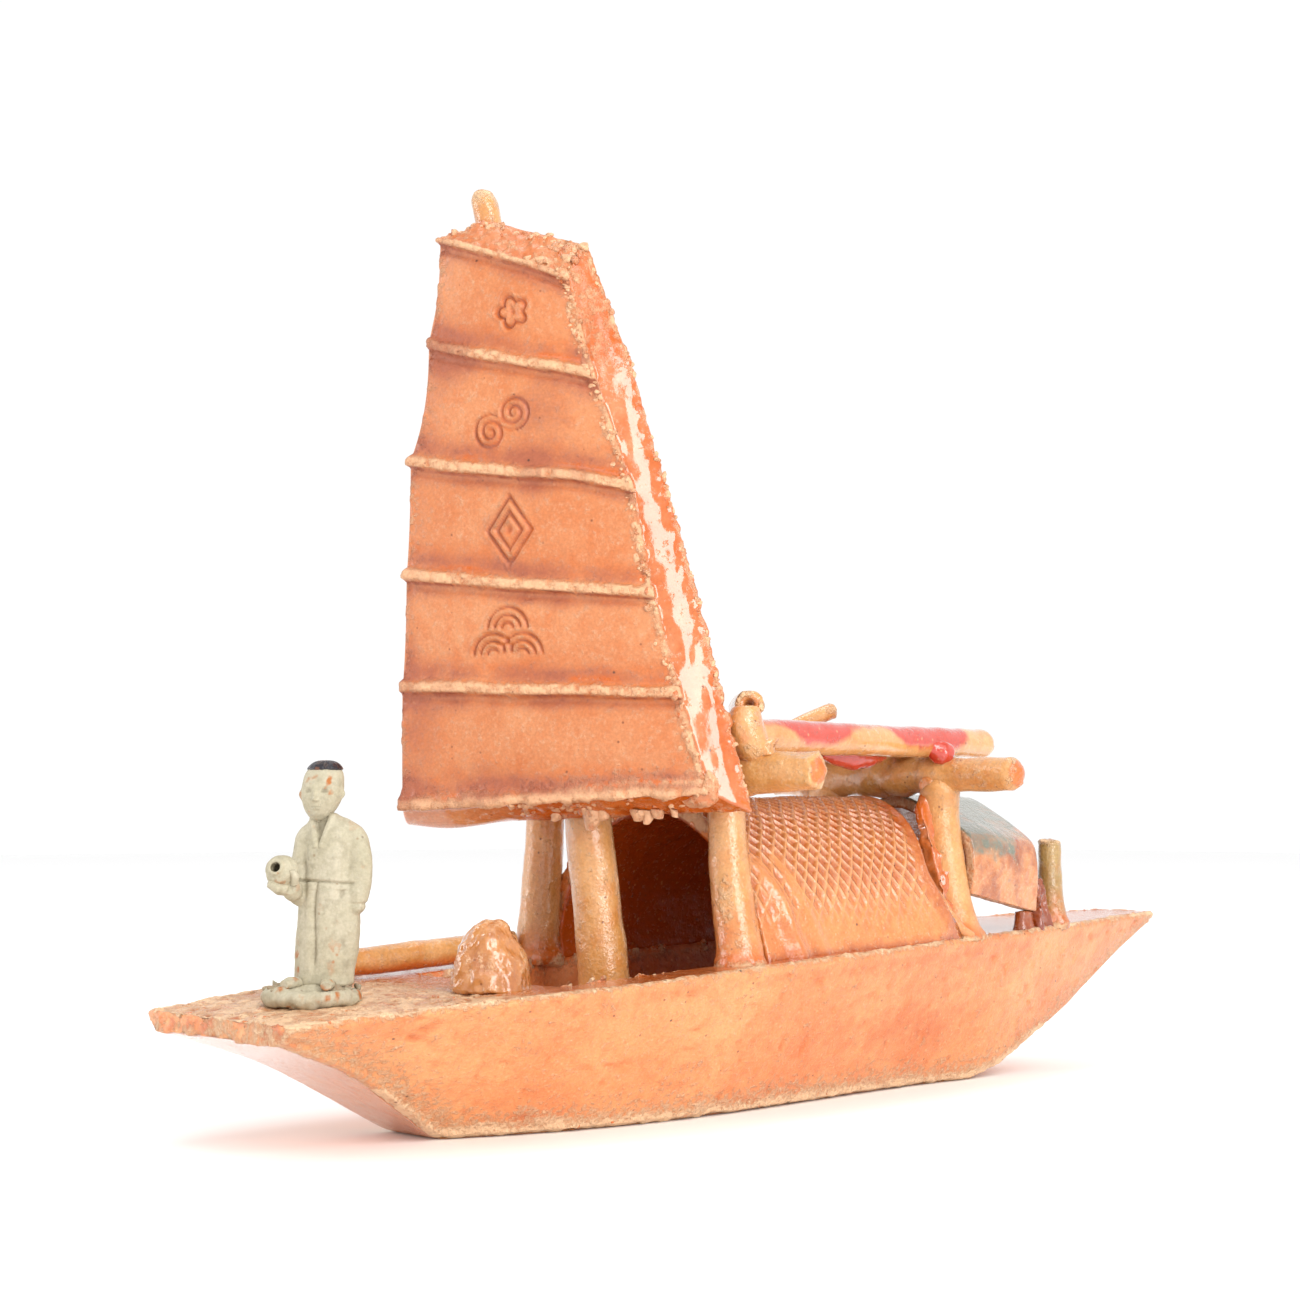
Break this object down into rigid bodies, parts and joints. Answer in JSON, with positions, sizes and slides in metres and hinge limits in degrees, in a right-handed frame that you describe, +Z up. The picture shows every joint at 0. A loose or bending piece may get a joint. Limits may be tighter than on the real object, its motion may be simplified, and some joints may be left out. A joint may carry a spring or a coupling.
{
  "type": "glazed pottery model of a sailing junk",
  "caption": "Small glazed pottery junk with a ribbed batten sail, mat-roofed cabin, pole rack on posts and a standing boatman on the foredeck.",
  "frame": {"origin": "on the flat bottom of the hull, under the middle of the deck's length and on the centreline", "axes": "+X towards the bow, +Y to port, +Z up"},
  "size_m": [0.14, 0.0429, 0.1009],
  "materials": {
    "orange_hull_glaze": "satin orange glaze over buff clay, fine dark specks, pale where it breaks over an edge",
    "orange_sail_glaze": "thin dusty orange glaze, deeper where it pools above each batten, pale clay on the ridges",
    "orange_roof_glaze": "glossy orange-brown glaze over a pressed diamond mat texture",
    "buff_tan_glaze": "thin clear glaze over buff-tan clay",
    "crimson_on_buff_glaze": "glossy crimson glaze run over the top of buff clay",
    "celadon_on_orange_glaze": "glossy celadon grey-green glaze over the upper roof, orange below",
    "dark_amber_glaze": "thick glossy dark amber glaze",
    "grey_green_clay": "matte pale grey-green clay with rust specks",
    "cobalt_black_hair": "satin blue-black slip"
  },
  "bodies": {
    "root": {"aft_roof": "celadon_on_orange_glaze", "deck_mound": "orange_roof_glaze", "figure_arm_left": "grey_green_clay", "figure_arm_right": "grey_green_clay", "figure_base": "grey_green_clay", "figure_forearm_right": "grey_green_clay", "figure_hair": "cobalt_black_hair", "figure_head": "grey_green_clay", "figure_jar": "grey_green_clay", "figure_robe": "grey_green_clay", "figure_shoe_left": "grey_green_clay", "figure_shoe_right": "grey_green_clay", "figure_torso": "grey_green_clay", "front_crossbeam": "buff_tan_glaze", "front_post_port": "buff_tan_glaze", "front_post_starboard": "buff_tan_glaze", "front_roof": "orange_roof_glaze", "gunwale_spar": "buff_tan_glaze", "hull": "orange_hull_glaze", "loose_pole": "buff_tan_glaze", "mast": "buff_tan_glaze", "rack_pole_1": "crimson_on_buff_glaze", "rack_pole_2": "crimson_on_buff_glaze", "rack_pole_3": "crimson_on_buff_glaze", "rack_pole_4": "crimson_on_buff_glaze", "rack_pole_5": "crimson_on_buff_glaze", "rear_crossbeam": "buff_tan_glaze", "rear_post_port": "buff_tan_glaze", "rear_post_starboard": "buff_tan_glaze", "roof_block_port": "dark_amber_glaze", "roof_block_starboard": "dark_amber_glaze", "sail": "orange_sail_glaze", "stern_post_port": "buff_tan_glaze", "stern_post_starboard": "buff_tan_glaze", "top_pole": "buff_tan_glaze"}
  },
  "joints": []
}
